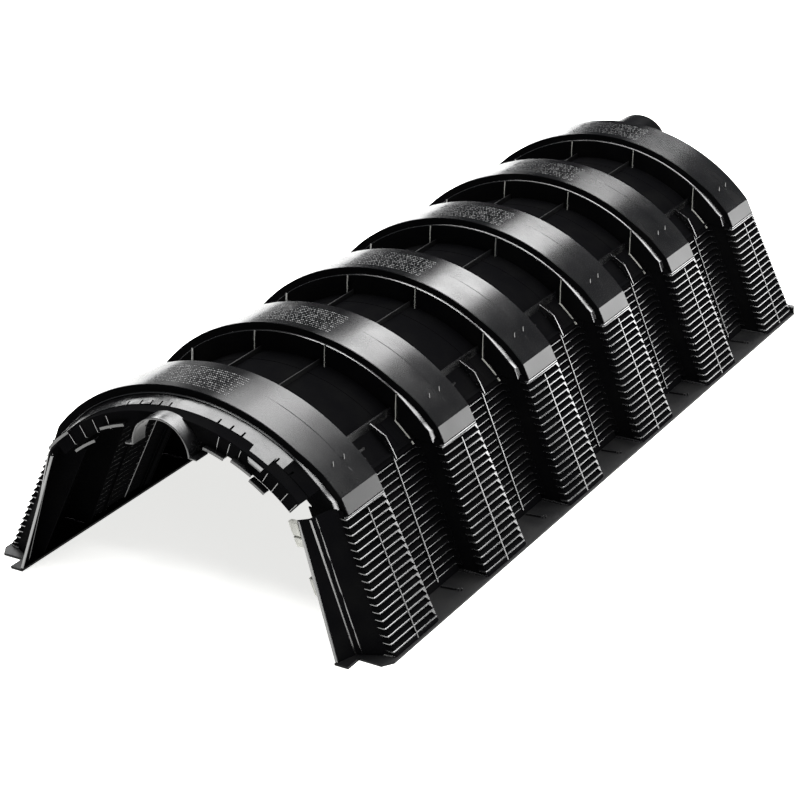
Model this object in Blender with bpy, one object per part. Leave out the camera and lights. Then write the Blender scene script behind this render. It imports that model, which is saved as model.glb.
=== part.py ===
"""Leaching chamber: an arched, louvred, open-bottomed plastic chamber for a drain field.

The real chamber is one thin moulding. Here each functional zone of it is its own solid: the raised
crest arches, the sunken valley arches, the louvred side walls under each, the base flanges, and the
joint pieces at both ends. Metres, +Z up, +Y from the front joint to the rear joint, origin at the
bottom centre of the bounding box.
"""

import math

import bmesh
import bpy

# Overall size
LENGTH = 1.905
WIDTH = 0.8636
RISE = 0.4064
PITCH = 0.3175  # from one crest to the next
CRESTS = 6
WALL = 0.004
GAP = 0.0003

# Outer profile of a crest: an arc, then a straight leg that leans outwards to the foot
ARC_HALF = math.radians(49.5)
FOOT_X = 0.4305
ARC_END_X = RISE * math.sin(ARC_HALF)
ARC_END_Z = RISE * math.cos(ARC_HALF)
LEG_SLOPE = (FOOT_X - ARC_END_X) / ARC_END_Z
LEG_STRETCH = math.hypot(1.0, LEG_SLOPE)
ARC_STEPS = 9  # facets on each half of an arc

# Crests
CREST_WIDTH = 0.1194
CREST_LIP_DEPTH = 0.014
CREST_LIP_STEP = 0.005
PAD_Z = 0.235
FRONT_DRAFT = 0.028
REAR_DRAFT = 0.0034

# Valleys
VALLEY_DEPTH = 0.055
VALLEY_LOUVRE_Z = 0.215
STRAP_X = 0.216
STRAP_TOP_Z = 0.2895
STRAP_THICK = 0.0035
WEB_X = 0.066
WEB_TOP_Z = 0.3545
WEB_THICK = 0.0025
RIB_ROOT = 0.0025  # how far straps and webs reach into the floor
RIB_END_GAP = 0.0002
GUSSET_Y = 0.2425
GUSSET_THICK = 0.003
GUSSET_TOP_Z = 0.2830
GUSSET_FOOT_Z = 0.2362
GUSSET_EDGE = ((0.2502, 0.2685), (0.2615, 0.2497), (0.2680, GUSSET_FOOT_Z))
GUSSET_ROOT = 0.002
GUSSET_ROOT_ANGLES = (46.0, 42.0, 38.2)

# Louvres
LOUVRE_PITCH = 0.0127
LOUVRE_DEPTH = 0.010
TOOTH_SHARE = 0.8  # how much of the pitch a tooth slopes over
CREST_TEETH = 17
VALLEY_TEETH = 15
BAND_CHAMFER = 0.003
BAND_INSET = 0.002

# Base flanges
FLANGE_THICK = 0.005
FLANGE_INNER_X = 0.345
FLANGE_FRONT = 0.057
FLANGE_CORNER_X = 0.014
FLANGE_CORNER_Y = 0.020
FOOT_PLATE_X = 0.372
REAR_LIP = 0.0047
REAR_LIP_INNER_X = 0.405
REAR_LIP_Z = 0.022
REAR_LIP_FOOT_Z = 0.002
REAR_LIP_INSET = 0.0004
REAR_LIP_SETBACK = 0.0002

# Front joint
FRONT_JOINT = 0.0905
LEDGE_DEPTH = 0.0175
LEDGE_REACH = 0.048
DIAPHRAGM_DEPTH = 0.0575
LEDGE_HALF = math.radians(44.5)
LEDGE_STEPS = 18
RIDGE_FOOT_X = 0.364
RIDGE_SLOPE = 0.332
RIDGE_REACH = 0.050
LEG_EDGE_FOOT_X = 0.351
LEG_EDGE_SLOPE = 0.340
LEG_EDGE_RISE = 0.107
LEG_EDGE_SETBACK = 0.0025
LEG_OVERLAP = 0.002  # how far the joint leg reaches past the louvres' roots
LEG_TOP_Z = 0.2445
PIPE_RADIUS = 0.062
PIPE_CENTRE_Z = 0.321
PIPE_REACH = 0.082
PIPE_FOOT = 0.016
PIPE_FOOT_DROP = 0.0005
PIPE_STEPS = 8  # facets on each half of the rim
NOTCH_FOOT_Z = 0.25
NOTCH_STEPS = 12
LIP_REACH = 0.012
LIP_THICK = 0.0035
LIP_ARCS = {
    "left": ((-46.0, -36.5, 0.3770), (-37.5, -28.5, 0.3420), (-24.0, -15.0, 0.3600)),
    "right": ((13.2, 20.0, 0.3500), (22.8, 29.6, 0.3570), (30.2, 35.5, 0.3470)),
}
# Blocks on the right joint leg: low z, high z, width, and the two distances ahead of crest 1
HOOK = (0.196, 0.240, 0.018, 0.054, 0.066)
LUG = (0.112, 0.143, 0.012, 0.056, 0.070)

# Rear joint
COLLAR_REACH = 0.065
DOME_RADIUS = 0.070
DOME_CENTRE_Z = 0.333
DOME_SKIRT_Z = 0.315
DOME_STEPS = 12
DOME_NOSE = 0.62  # the rounded end's length as a share of the radius
NOSE_STEPS = 6
NOSE_TIP = 0.001  # the tip's radius as a share of the dome's
SLOT_X = 0.052
SLOT_SETBACK = 0.008
SLOT_LOW_Z = 0.30
SLOT_HIGH_Z = 0.37
SEAT_X = 0.2
SEAT_LOW_Z = 0.2
SEAT_ANGLE = 35
SEAT_STEPS = 24

CUT_MARGIN = 0.02  # how far a cutter passes the wall it cuts

CREST_1_Y = -LENGTH / 2 + FRONT_JOINT
CREST_6_REAR_Y = CREST_1_Y + (CRESTS - 1) * PITCH + CREST_WIDTH
VALLEY_RADIUS = RISE - VALLEY_DEPTH

BLACK = (0.012, 0.012, 0.013, 1.0)
SIDES = (("left", -1), ("right", 1))


def clear_scene():
    for old in list(bpy.data.objects):
        bpy.data.objects.remove(old, do_unlink=True)


def plastic(name, roughness):
    material = bpy.data.materials.new(name)
    material.use_nodes = True
    shader = material.node_tree.nodes["Principled BSDF"]
    shader.inputs["Base Color"].default_value = BLACK
    shader.inputs["Roughness"].default_value = roughness
    shader.inputs["Metallic"].default_value = 0.0
    return material


def add_object(name, bm, roughness=0.35):
    """Turns a bmesh into a named object with outward faces and its own material."""
    bmesh.ops.recalc_face_normals(bm, faces=bm.faces)
    mesh = bpy.data.meshes.new(name)
    bm.to_mesh(mesh)
    bm.free()
    obj = bpy.data.objects.new(name, mesh)
    bpy.context.collection.objects.link(obj)
    mesh.materials.append(plastic(name + "_plastic", roughness))
    mesh.shade_smooth()
    mesh.set_sharp_from_angle(angle=math.radians(30))
    return obj


def boolean(obj, tool, operation):
    """Joins or cuts with a helper object, which the render leaves out."""
    modifier = obj.modifiers.new(tool.name, "BOOLEAN")
    modifier.operation = operation
    modifier.solver = "EXACT"
    modifier.object = tool
    tool.hide_render = True
    tool.display_type = "WIRE"


def leg_x(z, depth=0.0):
    """Half width of the leg at height z, at this depth behind its outer face."""
    return FOOT_X - LEG_SLOPE * z - LEG_STRETCH * depth


def front_y(z):
    """How far the front face of a crest stands back at height z, from its place at the pad."""
    return -FRONT_DRAFT * max(0.0, 1 - z / PAD_Z)


def rear_y(z):
    return CREST_WIDTH - REAR_DRAFT * max(0.0, 1 - z / PAD_Z)


def arch_path(end_z):
    """Stations (x, z, inward x, inward z) along the outer profile, left foot to right foot."""
    half = []
    for step in range(ARC_STEPS):
        angle = ARC_HALF * step / ARC_STEPS
        normal = (math.sin(angle), math.cos(angle))
        half.append((RISE * normal[0], RISE * normal[1], -normal[0], -normal[1]))
    # At the shoulder the walls turn in so that they stay above the pilaster and on the valley's radius.
    inward_z = -(ARC_END_Z - PAD_Z - 0.0005) / (VALLEY_DEPTH + WALL)
    floor_z = ARC_END_Z + inward_z * VALLEY_DEPTH
    inward_x = (math.sqrt(VALLEY_RADIUS**2 - floor_z**2) - ARC_END_X) / VALLEY_DEPTH
    half.append((ARC_END_X, ARC_END_Z, inward_x, inward_z))
    half.append((leg_x(end_z), end_z, -LEG_STRETCH, 0.0))
    left = [(-x, z, -nx, nz) for x, z, nx, nz in reversed(half[1:])]
    return left + half


def arc_path(low, high, steps):
    """Stations along the top arc alone, between two angles from the vertical."""
    path = []
    for step in range(steps + 1):
        angle = low + (high - low) * step / steps
        path.append((RISE * math.sin(angle), RISE * math.cos(angle), -math.sin(angle), -math.cos(angle)))
    return path


def sweep(path, section):
    """A closed body: the (y, depth) section carried along the path, with a cap at each end."""
    bm = bmesh.new()
    rings = []
    for x, z, nx, nz in path:
        rings.append([bm.verts.new((x + nx * d, y, z + nz * d)) for y, d in section])
    count = len(section)
    for ring, following in zip(rings, rings[1:]):
        for i in range(count):
            j = (i + 1) % count
            bm.faces.new((ring[i], ring[j], following[j], following[i]))
    bm.faces.new(rings[0])
    bm.faces.new(rings[-1])
    return bm


def prism(outline, near_y, far_y):
    """A closed body: an (x, z) outline carried along Y, whose ends may lean with height."""
    bm = bmesh.new()
    near = [bm.verts.new((x, near_y(z), z)) for x, z in outline]
    far = [bm.verts.new((x, far_y(z), z)) for x, z in outline]
    count = len(outline)
    for i in range(count):
        j = (i + 1) % count
        bm.faces.new((near[i], near[j], far[j], far[i]))
    bm.faces.new(near)
    bm.faces.new(far)
    return bm


def slab(outline, low_z, high_z):
    """A closed body: an (x, y) outline carried upwards."""
    bm = bmesh.new()
    low = [bm.verts.new((x, y, low_z)) for x, y in outline]
    high = [bm.verts.new((x, y, high_z)) for x, y in outline]
    count = len(outline)
    for i in range(count):
        j = (i + 1) % count
        bm.faces.new((low[i], low[j], high[j], high[i]))
    bm.faces.new(low)
    bm.faces.new(high)
    return bm


def box(x0, x1, y0, y1, z0, z1):
    return slab(((x0, y0), (x1, y0), (x1, y1), (x0, y1)), z0, z1)


def louvre_outline(side, depth, top_z, teeth, inner_depth):
    """Saw-tooth outer face of a louvred wall, each tooth sloping down to its tip, and a plain inner face."""
    points = []
    wall_top_z = PAD_Z - GAP
    if top_z < wall_top_z:
        points.append((side * leg_x(wall_top_z, depth), wall_top_z))
        points.append((side * leg_x(top_z + BAND_CHAMFER, depth), top_z + BAND_CHAMFER))
    for tooth in range(teeth):
        root_z = top_z - tooth * LOUVRE_PITCH
        tip_z = root_z - TOOTH_SHARE * LOUVRE_PITCH
        points.append((side * leg_x(root_z, depth + LOUVRE_DEPTH), root_z))
        points.append((side * leg_x(tip_z, depth), tip_z))
    plain_z = top_z - teeth * LOUVRE_PITCH
    foot_z = FLANGE_THICK + GAP
    points.append((side * leg_x(plain_z, depth + LOUVRE_DEPTH), plain_z))
    points.append((side * leg_x(plain_z - BAND_CHAMFER, depth + BAND_INSET), plain_z - BAND_CHAMFER))
    points.append((side * leg_x(foot_z, depth + BAND_INSET), foot_z))
    points.append((side * leg_x(foot_z, inner_depth), foot_z))
    points.append((side * leg_x(wall_top_z, inner_depth), wall_top_z))
    return points


def crest_arch(number):
    """Raised band with a lip along its front edge and a wall down each side to the valley floor."""
    y = CREST_1_Y + (number - 1) * PITCH
    inner = VALLEY_DEPTH + WALL
    section = (
        (y + CREST_LIP_STEP, 0.0),
        (y + CREST_WIDTH, 0.0),
        (y + CREST_WIDTH, inner),
        (y + CREST_WIDTH - WALL, inner),
        (y + CREST_WIDTH - WALL, WALL),
        (y + CREST_LIP_STEP + WALL, WALL),
        (y + CREST_LIP_STEP + WALL, CREST_LIP_DEPTH + WALL),
        (y + WALL, CREST_LIP_DEPTH + WALL),
        (y + WALL, inner),
        (y, inner),
        (y, CREST_LIP_DEPTH),
        (y + CREST_LIP_STEP, CREST_LIP_DEPTH),
    )
    return add_object(f"crest_arch_{number}", sweep(arch_path(PAD_Z), section))


def valley_arch(number):
    """Sunken floor between two crests, with two straps, two low webs and a gusset at each shoulder."""
    start = CREST_1_Y + (number - 1) * PITCH + CREST_WIDTH + GAP
    end = CREST_1_Y + number * PITCH - GAP
    section = (
        (start, VALLEY_DEPTH),
        (end, VALLEY_DEPTH),
        (end, VALLEY_DEPTH + WALL),
        (start, VALLEY_DEPTH + WALL),
    )
    floor = add_object(f"valley_arch_{number}", sweep(arch_path(PAD_Z), section), 0.45)
    gusset_y = CREST_1_Y + (number - 1) * PITCH + GUSSET_Y
    for side_name, side in SIDES:
        for label, x, thick, top in (
            ("strap", STRAP_X, STRAP_THICK, STRAP_TOP_Z),
            ("web", WEB_X, WEB_THICK, WEB_TOP_Z),
        ):
            root_z = math.sqrt(VALLEY_RADIUS**2 - x * x) - RIB_ROOT
            low_x = side * x - thick / 2
            bm = box(low_x, low_x + thick, start + RIB_END_GAP, end - RIB_END_GAP, root_z, top)
            boolean(floor, add_object(f"valley_{label}_{side_name}_{number}", bm), "UNION")
        outline = [(STRAP_X, GUSSET_TOP_Z), *GUSSET_EDGE]
        outline.append((leg_x(GUSSET_FOOT_Z, VALLEY_DEPTH + GUSSET_ROOT), GUSSET_FOOT_Z))
        radius = VALLEY_RADIUS - GUSSET_ROOT
        for angle in GUSSET_ROOT_ANGLES:
            turn = math.radians(angle)
            outline.append((radius * math.sin(turn), radius * math.cos(turn)))
        outline = [(side * x, z) for x, z in outline]
        bm = prism(outline, lambda z: gusset_y, lambda z: gusset_y + GUSSET_THICK)
        boolean(floor, add_object(f"valley_gusset_{side_name}_{number}", bm), "UNION")


def crest_louvre(number, side_name, side):
    """Louvred pilaster under one end of a crest: a channel that is open to the inside."""
    y = CREST_1_Y + (number - 1) * PITCH
    inner_depth = VALLEY_DEPTH + LOUVRE_DEPTH + WALL
    outline = louvre_outline(side, 0.0, PAD_Z - GAP, CREST_TEETH, inner_depth)
    bm = prism(outline, lambda z: y + front_y(z), lambda z: y + rear_y(z))
    panel = add_object(f"crest_louvre_{side_name}_{number}", bm, 0.3)
    hollow = [
        (side * leg_x(z, depth), z)
        for z, depth in (
            (-CUT_MARGIN, LOUVRE_DEPTH + WALL),
            (PAD_Z + CUT_MARGIN, LOUVRE_DEPTH + WALL),
            (PAD_Z + CUT_MARGIN, inner_depth + CUT_MARGIN),
            (-CUT_MARGIN, inner_depth + CUT_MARGIN),
        )
    ]
    cutter = prism(
        hollow,
        lambda z: y - FRONT_DRAFT * (1 - z / PAD_Z) + WALL,
        lambda z: y + CREST_WIDTH - REAR_DRAFT * (1 - z / PAD_Z) - WALL,
    )
    boolean(panel, add_object(f"crest_hollow_{side_name}_{number}", cutter), "DIFFERENCE")


def valley_louvre(number, side_name, side):
    """Louvred wall between two pilasters."""
    y = CREST_1_Y + (number - 1) * PITCH
    inner_depth = VALLEY_DEPTH + LOUVRE_DEPTH + WALL
    outline = louvre_outline(side, VALLEY_DEPTH, VALLEY_LOUVRE_Z, VALLEY_TEETH, inner_depth)
    bm = prism(outline, lambda z: y + rear_y(z) + GAP, lambda z: y + PITCH + front_y(z) - GAP)
    add_object(f"valley_louvre_{side_name}_{number}", bm, 0.3)


def base_flange(side_name, side):
    """Flat strip that the whole chamber rests on, with a foot under the front joint leg."""
    front = CREST_1_Y - FLANGE_FRONT
    rear = CREST_6_REAR_Y + GAP + REAR_LIP
    outline = (
        (side * FLANGE_INNER_X, -LENGTH / 2),
        (side * FOOT_PLATE_X, -LENGTH / 2),
        (side * FOOT_PLATE_X, front),
        (side * (WIDTH / 2 - FLANGE_CORNER_X), front),
        (side * WIDTH / 2, front + FLANGE_CORNER_Y),
        (side * WIDTH / 2, rear),
        (side * REAR_LIP_INNER_X, rear),
        (side * REAR_LIP_INNER_X, rear - REAR_LIP),
        (side * FLANGE_INNER_X, rear - REAR_LIP),
    )
    flange = add_object(f"base_flange_{side_name}", slab(outline, 0.0, FLANGE_THICK), 0.4)
    inner_x = REAR_LIP_INNER_X + REAR_LIP_INSET
    outer_x = WIDTH / 2 - REAR_LIP_SETBACK
    low_x, high_x = sorted((side * inner_x, side * outer_x))
    lip = box(low_x, high_x, rear - REAR_LIP, rear - REAR_LIP_SETBACK, REAR_LIP_FOOT_Z, REAR_LIP_Z)
    boolean(flange, add_object(f"flange_lip_{side_name}", lip), "UNION")


def front_joint_ledge():
    """Ledge in front of the first crest and the end wall that hangs from it, notched for a pipe."""
    wall_y = CREST_1_Y - LEDGE_REACH
    section = (
        (wall_y - WALL, LEDGE_DEPTH),
        (CREST_1_Y - GAP, LEDGE_DEPTH),
        (CREST_1_Y - GAP, LEDGE_DEPTH + WALL),
        (wall_y, LEDGE_DEPTH + WALL),
        (wall_y, DIAPHRAGM_DEPTH),
        (wall_y - WALL, DIAPHRAGM_DEPTH),
    )
    ledge = add_object("front_joint_ledge", sweep(arc_path(-LEDGE_HALF, LEDGE_HALF, LEDGE_STEPS), section))
    radius = PIPE_RADIUS + GAP
    outline = [(radius, NOTCH_FOOT_Z), (-radius, NOTCH_FOOT_Z)]
    for step in range(NOTCH_STEPS + 1):
        angle = math.pi * step / NOTCH_STEPS
        outline.append((-radius * math.cos(angle), PIPE_CENTRE_Z + radius * math.sin(angle)))
    notch = prism(outline, lambda z: wall_y - CUT_MARGIN, lambda z: wall_y + CUT_MARGIN)
    boolean(ledge, add_object("pipe_notch", notch), "DIFFERENCE")


def front_pipe_arch():
    """Half-round rim that guides the pipe, with a small foot turned out at each end."""
    inner = PIPE_RADIUS - WALL
    foot_x = PIPE_RADIUS + PIPE_FOOT
    foot_z = PIPE_CENTRE_Z - WALL
    turns = [math.pi / 2 * step / PIPE_STEPS for step in range(PIPE_STEPS + 1)]
    half = [(PIPE_RADIUS * math.sin(turn), PIPE_CENTRE_Z + PIPE_RADIUS * math.cos(turn)) for turn in turns]
    half += [(foot_x, PIPE_CENTRE_Z - PIPE_FOOT_DROP), (foot_x, foot_z), (inner, foot_z)]
    half += [(inner * math.sin(turn), PIPE_CENTRE_Z + inner * math.cos(turn)) for turn in reversed(turns)]
    outline = half + [(-x, z) for x, z in reversed(half[1:-1])]
    front = CREST_1_Y - PIPE_REACH
    back = CREST_1_Y - LEDGE_REACH - WALL - GAP
    add_object("front_pipe_arch", prism(outline, lambda z: front, lambda z: back), 0.25)


def front_joint_leg(side_name, side):
    """Wall that runs from the first pilaster to a ridge, then tapers in towards the front edge."""
    def plan(z):
        start_x = leg_x(z, LOUVRE_DEPTH + LEG_OVERLAP)
        start_y = CREST_1_Y + front_y(z) - GAP
        ridge_x = RIDGE_FOOT_X - RIDGE_SLOPE * z
        ridge_y = CREST_1_Y - RIDGE_REACH
        edge_x = LEG_EDGE_FOOT_X - LEG_EDGE_SLOPE * z
        edge_y = -LENGTH / 2 + LEG_EDGE_SETBACK + LEG_EDGE_RISE * z
        return (
            (start_x, start_y),
            (ridge_x, ridge_y),
            (edge_x, edge_y),
            (edge_x - WALL, edge_y),
            (ridge_x - WALL, ridge_y + WALL),
            (start_x - 3 * WALL, start_y),
        )

    bm = bmesh.new()
    rings = []
    for z in (FLANGE_THICK + GAP, PAD_Z, LEG_TOP_Z):
        rings.append([bm.verts.new((side * x, y, z)) for x, y in plan(z)])
    for low, high in zip(rings, rings[1:]):
        for i in range(6):
            j = (i + 1) % 6
            bm.faces.new((low[i], low[j], high[j], high[i]))
    bm.faces.new(rings[0])
    bm.faces.new(rings[-1])
    add_object(f"front_joint_leg_{side_name}", bm)


def front_lips():
    """Short shelves on the end wall that the end plate snaps behind."""
    back = CREST_1_Y - LEDGE_REACH - WALL - GAP
    for side_name, arcs in LIP_ARCS.items():
        for number, (low, high, radius) in enumerate(arcs, 1):
            depth = RISE - radius
            section = (
                (back - LIP_REACH, depth),
                (back, depth),
                (back, depth + LIP_THICK),
                (back - LIP_REACH, depth + LIP_THICK),
            )
            path = arc_path(math.radians(low), math.radians(high), 3)
            add_object(f"front_lip_{side_name}_{number}", sweep(path, section), 0.25)


def front_block(name, low_z, high_z, width, low_y, high_y):
    """Block on the inner face of the right joint leg, following its slope."""
    def inner_x(z):
        return LEG_EDGE_FOOT_X - LEG_EDGE_SLOPE * z - WALL - GAP

    outline = (
        (inner_x(low_z), low_z),
        (inner_x(high_z), high_z),
        (inner_x(high_z) - width, high_z),
        (inner_x(low_z) - width, low_z),
    )
    bm = prism(outline, lambda z: CREST_1_Y - high_y, lambda z: CREST_1_Y - low_y)
    add_object(name, bm, 0.25)


def rear_joint_collar():
    """Set-in collar behind the last crest, slotted under the pipe dome."""
    start = CREST_6_REAR_Y + GAP
    end = start + COLLAR_REACH
    section = (
        (start, VALLEY_DEPTH),
        (end, VALLEY_DEPTH),
        (end, VALLEY_DEPTH + WALL),
        (start, VALLEY_DEPTH + WALL),
    )
    collar = add_object("rear_joint_collar", sweep(arch_path(0.0), section), 0.4)
    slot = box(-SLOT_X, SLOT_X, start + SLOT_SETBACK, end + CUT_MARGIN, SLOT_LOW_Z, SLOT_HIGH_Z)
    boolean(collar, add_object("dome_slot", slot), "DIFFERENCE")


def rear_pipe_dome():
    """Half-round hood with a rounded end over the pipe path, open underneath."""
    start = CREST_6_REAR_Y + GAP
    end = LENGTH / 2
    nose = end - DOME_RADIUS * DOME_NOSE

    def shell(radius, back_y, nose_length, low_z):
        bm = bmesh.new()
        rings = []
        for y, scale in [(back_y, 1.0)] + [
            (nose + nose_length * math.sin(turn), math.cos(turn) * (1 - NOSE_TIP) + NOSE_TIP)
            for turn in (math.pi / 2 * step / NOSE_STEPS for step in range(NOSE_STEPS + 1))
        ]:
            ring = [bm.verts.new((-radius * scale, y, low_z))]
            for step in range(DOME_STEPS + 1):
                angle = math.pi * step / DOME_STEPS
                x = -radius * scale * math.cos(angle)
                z = DOME_CENTRE_Z + radius * math.sin(angle) * scale
                ring.append(bm.verts.new((x, y, z)))
            ring.append(bm.verts.new((radius * scale, y, low_z)))
            rings.append(ring)
        for ring, following in zip(rings, rings[1:]):
            for i in range(len(ring)):
                j = (i + 1) % len(ring)
                bm.faces.new((ring[i], ring[j], following[j], following[i]))
        bm.faces.new(rings[0])
        bm.faces.new(rings[-1])
        return bm

    dome = add_object("rear_pipe_dome", shell(DOME_RADIUS, start, end - nose, DOME_SKIRT_Z))
    hollow = shell(DOME_RADIUS - WALL, start - CUT_MARGIN, end - nose - WALL, DOME_SKIRT_Z - CUT_MARGIN)
    boolean(dome, add_object("dome_hollow", hollow), "DIFFERENCE")
    radius = VALLEY_RADIUS + GAP
    outline = [(-SEAT_X, SEAT_LOW_Z), (SEAT_X, SEAT_LOW_Z)]
    for step in range(SEAT_STEPS + 1):
        angle = math.radians(SEAT_ANGLE - 2 * SEAT_ANGLE * step / SEAT_STEPS)
        outline.append((radius * math.sin(angle), radius * math.cos(angle)))
    cut = prism(outline, lambda z: start - CUT_MARGIN, lambda z: start + COLLAR_REACH + GAP)
    boolean(dome, add_object("dome_seat", cut), "DIFFERENCE")


def build():
    clear_scene()
    for number in range(1, CRESTS + 1):
        crest_arch(number)
        for side_name, side in SIDES:
            crest_louvre(number, side_name, side)
    for number in range(1, CRESTS):
        valley_arch(number)
        for side_name, side in SIDES:
            valley_louvre(number, side_name, side)
    for side_name, side in SIDES:
        base_flange(side_name, side)
        front_joint_leg(side_name, side)
    front_joint_ledge()
    front_pipe_arch()
    front_lips()
    front_block("front_latch_hook", *HOOK)
    front_block("front_lock_lug", *LUG)
    rear_joint_collar()
    rear_pipe_dome()


build()
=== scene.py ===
"""Leaching chamber: the visible shells, louvres and joints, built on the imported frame.

Laid out as an add-on and run as a script. Every size is in metres in the frame's own axes: +Y from the
front joint to the rear joint, +Z up, X across. Each finished piece has its place in its mesh.
"""

from math import asin, atan2, copysign, cos, degrees, hypot, pi, radians, sin, sqrt, tau

import bmesh
import bpy
from bpy.props import FloatProperty, FloatVectorProperty, IntProperty, PointerProperty
from mathutils import Matrix, Vector


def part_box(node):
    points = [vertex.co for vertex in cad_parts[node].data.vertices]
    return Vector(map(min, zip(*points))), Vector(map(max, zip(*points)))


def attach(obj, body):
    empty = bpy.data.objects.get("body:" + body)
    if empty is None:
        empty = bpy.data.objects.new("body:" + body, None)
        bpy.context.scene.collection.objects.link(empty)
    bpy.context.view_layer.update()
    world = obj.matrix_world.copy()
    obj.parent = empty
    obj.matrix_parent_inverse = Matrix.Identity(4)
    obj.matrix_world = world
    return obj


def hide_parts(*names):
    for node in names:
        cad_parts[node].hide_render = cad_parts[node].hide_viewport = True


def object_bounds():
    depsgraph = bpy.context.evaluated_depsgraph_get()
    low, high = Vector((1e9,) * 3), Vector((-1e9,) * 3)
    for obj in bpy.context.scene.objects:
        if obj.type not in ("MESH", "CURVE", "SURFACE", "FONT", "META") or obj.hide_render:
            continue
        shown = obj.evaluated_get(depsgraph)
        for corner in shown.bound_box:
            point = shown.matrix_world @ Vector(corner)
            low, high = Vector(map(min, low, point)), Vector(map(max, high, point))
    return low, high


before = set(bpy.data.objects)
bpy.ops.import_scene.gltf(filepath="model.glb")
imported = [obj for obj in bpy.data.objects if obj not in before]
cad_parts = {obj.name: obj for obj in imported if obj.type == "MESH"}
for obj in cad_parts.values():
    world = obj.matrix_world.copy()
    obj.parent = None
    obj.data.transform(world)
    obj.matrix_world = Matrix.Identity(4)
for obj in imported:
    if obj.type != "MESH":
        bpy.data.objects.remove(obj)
CAD_LOW, CAD_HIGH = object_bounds()

bl_info = {
    "name": "Leaching Chamber",
    "version": (1, 0, 0),
    "blender": (4, 5, 0),
    "location": "View3D > Sidebar > Chamber",
    "description": "Builds the shells, louvres and joints of a leaching chamber on its packed frame",
    "category": "Add Mesh",
}

SIDES = (("left", -1), ("right", 1))
CRESTS = sum(name.startswith("crest_arch_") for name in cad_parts)
BODY = "root"
DASH_HEIGHT = 0.0009  # how far a grip dash stands out of the crest
HIGHLIGHT_HALF = 0.0007  # half width of a painted highlight strip on a fin's front edge
GROOVE_ARC = (24, 38, 8)  # where a crest's step line runs: from and to, and a soft margin, in degrees
WIDE_ARC = (42, 60, 8)  # where the ledge along a crest's front is widest, in the same terms
FINS_X = (-0.228, -0.078, 0.078, 0.228)
GUSSET_Y = 0.2425  # from a crest's front face to the gusset and the upright rib in the valley behind it
BAR_HEIGHT = 0.007
EDGE_X, EDGE_SLOPE = 0.351, 0.340  # a joint leg's front edge: half width at the ground, and lean inwards
SMOOTH_END = radians(34)  # where the smooth part of the front ledge stops


# ---------------------------------------------------------------- sizes and colours

def linear(hex_code):
    """An sRGB hex colour as linear red, green, blue and alpha."""
    parts = [int(hex_code[i:i + 2], 16) / 255 for i in (1, 3, 5)]
    return [c / 12.92 if c <= 0.04045 else ((c + 0.055) / 1.055) ** 2.4 for c in parts] + [1.0]


def length(name, metres, description):
    """A size, in metres."""
    return FloatProperty(name=name, default=metres, description=description, unit="LENGTH", precision=4)


def colour(name, hex_code, description):
    """A colour, from its sRGB hex code."""
    return FloatVectorProperty(
        name=name, default=linear(hex_code), description=description, subtype="COLOR", size=4, min=0, max=1
    )


class ShellSizes(bpy.types.PropertyGroup):
    """Sizes of the crests, the valleys and the legs' faces."""

    wall: length("Wall", 0.003, "Thickness of the moulded skin")
    arc_half: FloatProperty(
        name="Arc", default=radians(49.5), description="Half of the top arc", subtype="ANGLE"
    )
    foot_x: length("Foot", 0.4305, "Half width of the legs where they reach the ground")
    valley_depth: length("Valley depth", 0.055, "How far the valleys lie under the crests")
    lip_depth: length("Lip depth", 0.014, "Drop from a crest's top to the ledge along its front")
    lip_step: length("Lip step", 0.0024, "Width of the ledge along a crest's front")
    lip_widening: length("Lip widening", 0.0062, "How much wider that ledge is on the shoulders")
    lip_tilt: FloatProperty(name="Lip tilt", default=0.35, description="Slope of that ledge towards its rim")
    front_draft: length("Front draft", 0.028, "How far a leg's front face stands out at the ground")
    rear_draft: length("Rear draft", 0.0034, "How far a leg's rear face draws in at the ground")
    edge: length("Edge", 0.0010, "Chamfer along moulded edges")
    groove: length("Groove", 0.0007, "Depth of the step line on a crest's shoulder")
    arc_steps: IntProperty(name="Arc steps", default=44, description="Facets on half of the top arc")


class LouvreSizes(bpy.types.PropertyGroup):
    """Sizes of the slats and of the rib through them."""

    pitch: length("Pitch", 0.0127, "From one slat to the next")
    depth: length("Depth", 0.0135, "How far a slat reaches inwards")
    rise: length("Rise", 0.0062, "How far a slat climbs from its edge to its root")
    root: length("Root", 0.0117, "Thickness of a slat at its root")
    bead: length("Bead", 0.0014, "Depth of the smooth bead along a slat's edge")
    crest_edge: length("Crest edge", 0.0026, "Height of a slat's blunt edge on a crest's leg")
    valley_edge: length("Valley edge", 0.0015, "Height of a slat's blunt edge in a valley")
    crest_top: length("Crest top", 0.2292, "Height of the highest slat on a crest's leg")
    valley_top: length("Valley top", 0.2210, "Height of the highest slat in a valley")
    crest_count: IntProperty(name="Crest slats", default=18, description="Slats on each crest's leg")
    valley_count: IntProperty(name="Valley slats", default=17, description="Slats in each valley wall")
    rib: length("Rib", 0.0028, "Thickness of the upright rib through a slat column")


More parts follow.
